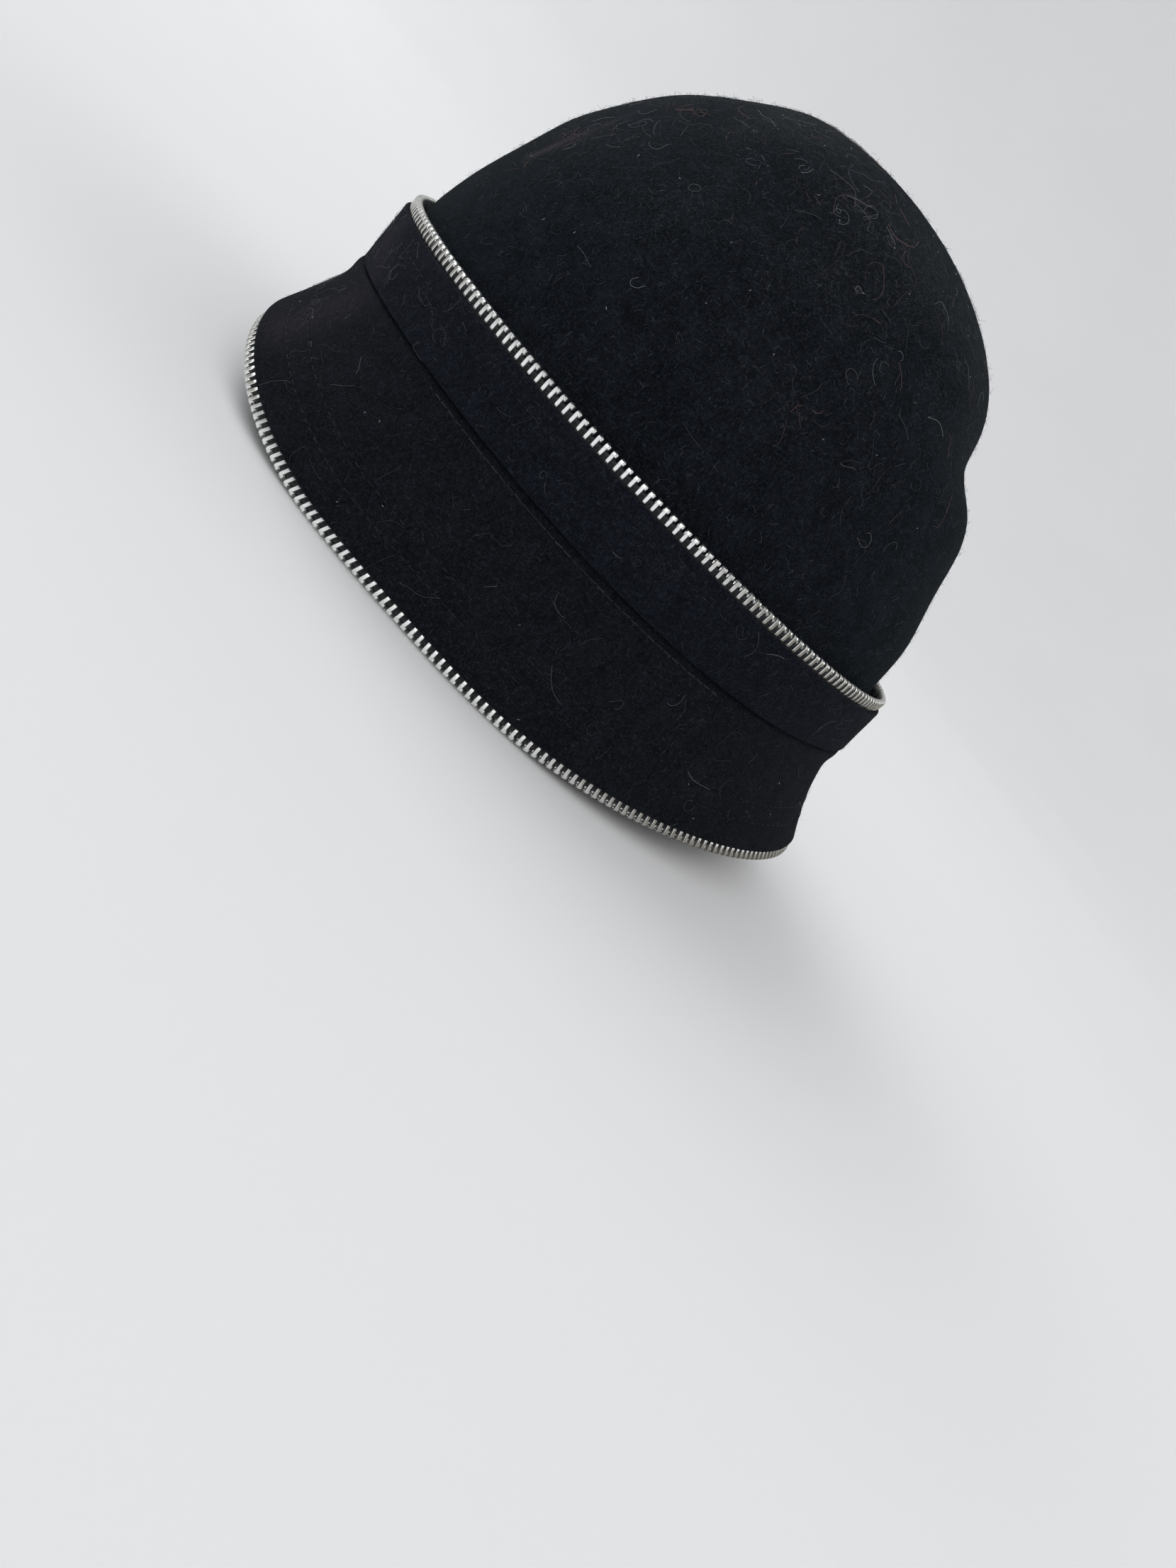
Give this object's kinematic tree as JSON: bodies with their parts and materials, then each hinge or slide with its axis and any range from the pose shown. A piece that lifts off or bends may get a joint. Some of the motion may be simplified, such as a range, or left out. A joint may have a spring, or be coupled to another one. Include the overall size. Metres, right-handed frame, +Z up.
{
  "type": "cloche hat",
  "caption": "Black felt cloche hat with a down-turned brim, a band and two rows of metal zip teeth.",
  "frame": {"origin": "middle of the hat in plan, on the surface that the rim rests on", "axes": "+Z up through the crown, +X toward the wearer's left, -Y toward the face"},
  "size_m": [0.1842, 0.2239, 0.1608],
  "materials": {
    "felt": "brushed wool felt",
    "tape": "woven cotton tape",
    "teeth": "polished stamped metal"
  },
  "bodies": {
    "root": {"crown": "felt", "brim": "felt", "band": "felt", "band_zip_tape": "tape", "band_zip_teeth": "teeth", "rim_zip_tape": "tape", "rim_zip_teeth": "teeth"}
  },
  "joints": []
}
